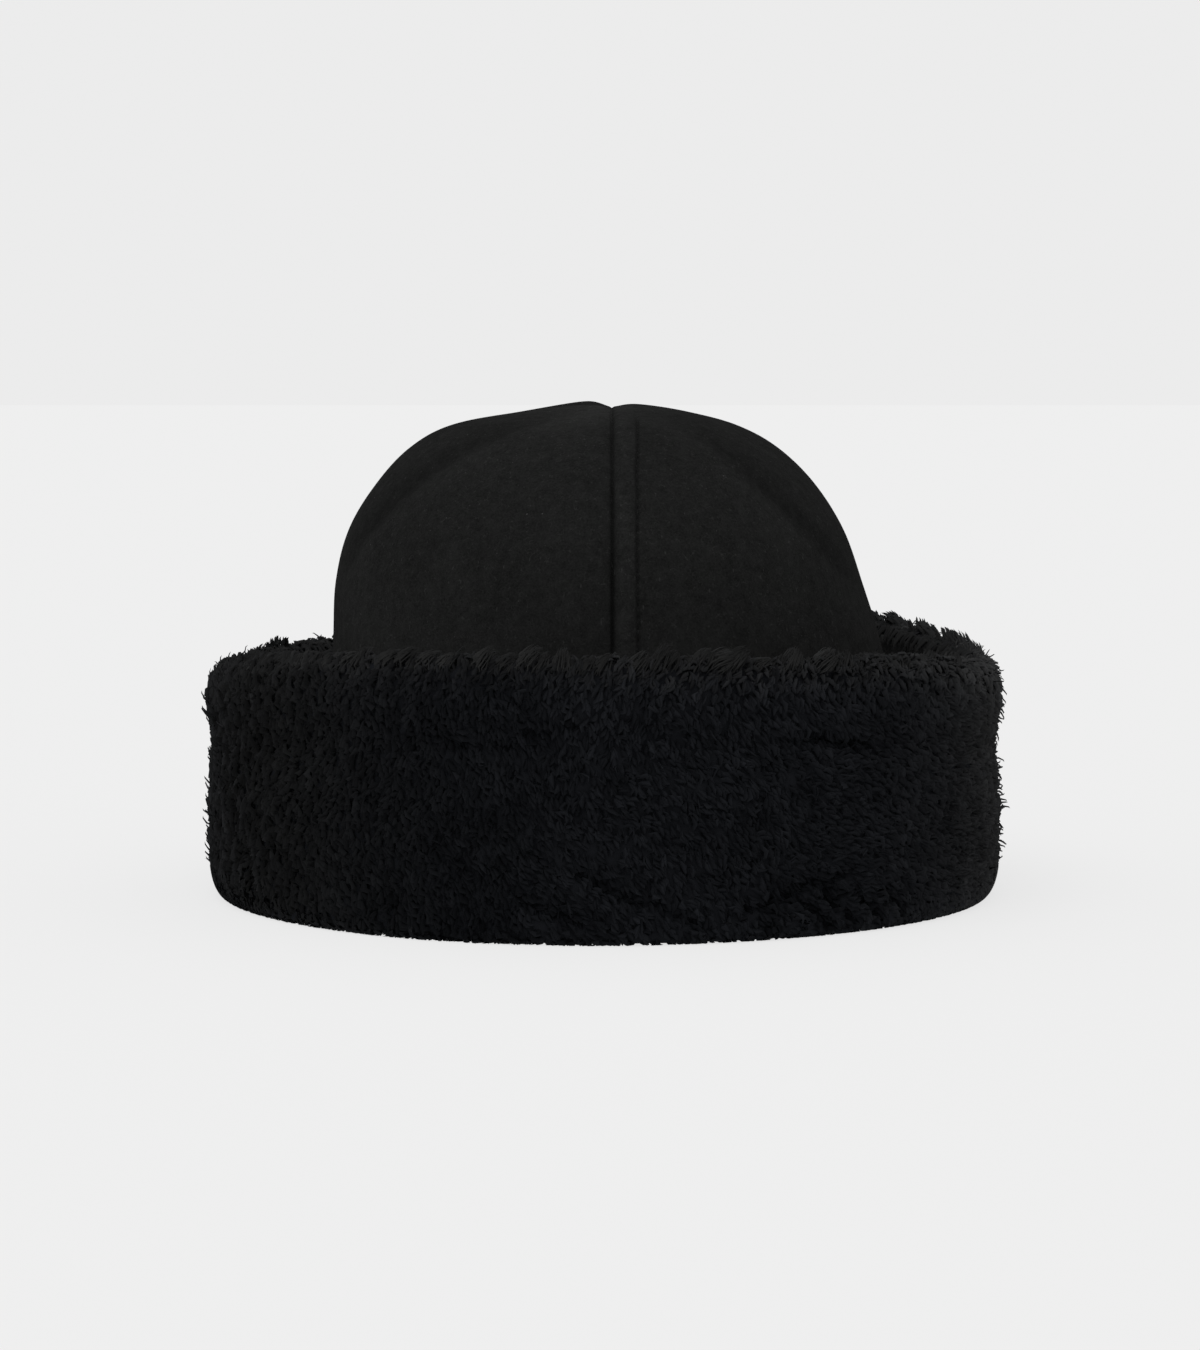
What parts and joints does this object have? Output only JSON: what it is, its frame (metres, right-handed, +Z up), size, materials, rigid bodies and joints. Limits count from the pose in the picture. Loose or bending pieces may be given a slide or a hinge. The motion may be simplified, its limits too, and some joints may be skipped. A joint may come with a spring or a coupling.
{
  "type": "cuffed fur cap",
  "caption": "Soft suede dome cap with a seamed, topstitched crown and a wide turned-up cuff of dark wool pile standing off the crown.",
  "frame": {"origin": "centre of the footprint on the surface that the cap rests on", "axes": "+Z up to the top of the crown, -Y towards the front with the topstitched centre seam, +X to the right of a viewer who faces the front"},
  "size_m": [0.2706, 0.2946, 0.1652],
  "materials": {
    "crown_suede": "black suede with a short matt nap, a few pale lint specks and black topstitching",
    "cuff_suede": "black suede side of a shearling hide, matt",
    "wool_pile": "black wool pile in short curled locks, matt with a soft sheen on the tips"
  },
  "bodies": {
    "root": {"crown_panel_front_left": "crown_suede", "crown_panel_front_right": "crown_suede", "crown_panel_back_left": "crown_suede", "crown_panel_back_right": "crown_suede", "cuff_hide": "cuff_suede", "cuff_fur": "wool_pile"}
  },
  "joints": []
}
